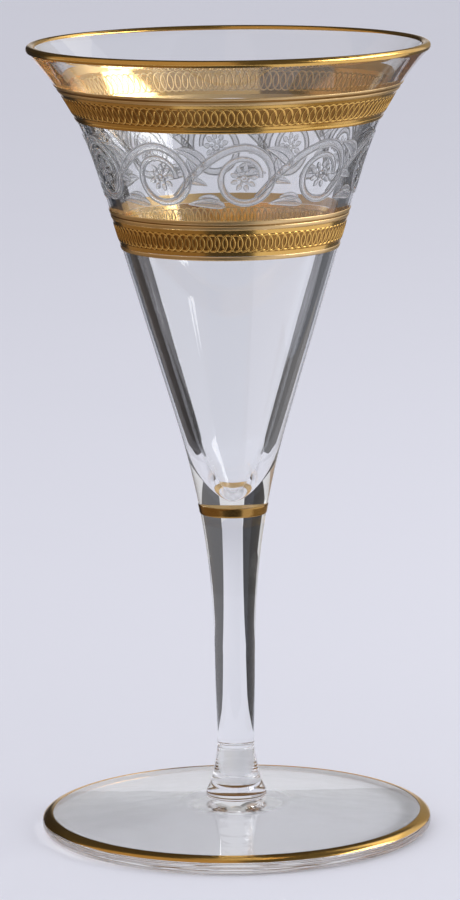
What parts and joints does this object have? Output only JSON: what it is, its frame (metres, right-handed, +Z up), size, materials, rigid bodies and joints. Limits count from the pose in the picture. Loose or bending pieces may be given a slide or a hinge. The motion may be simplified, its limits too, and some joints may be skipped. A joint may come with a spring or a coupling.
{
  "type": "sherry glass",
  "caption": "Flared V-shaped stemmed sherry glass in clear glass with gilded rings, guilloche gold bands and an etched running scroll.",
  "frame": {"origin": "on the table that the glass stands on, under the middle of the foot", "axes": "+Z up along the axis of the stem and bowl; -Y is the side that faces the viewer"},
  "size_m": [0.0738, 0.0738, 0.147],
  "materials": {
    "clear_glass": "polished clear glass",
    "etched_glass": "acid-etched, frosted",
    "gilding": "burnished fired gold"
  },
  "bodies": {
    "root": {"bowl": "clear_glass", "stem": "clear_glass", "foot": "clear_glass", "rim_gilding": "gilding", "upper_band_first_fillet": "gilding", "upper_band_second_fillet": "gilding", "upper_band_guilloche": "gilding", "upper_band_bottom_fillet": "gilding", "scroll_frieze": "etched_glass", "lower_band_first_fillet": "gilding", "lower_band_second_fillet": "gilding", "lower_band_guilloche": "gilding", "lower_band_bottom_fillet": "gilding", "stem_ring": "gilding", "foot_ring": "gilding"}
  },
  "joints": []
}
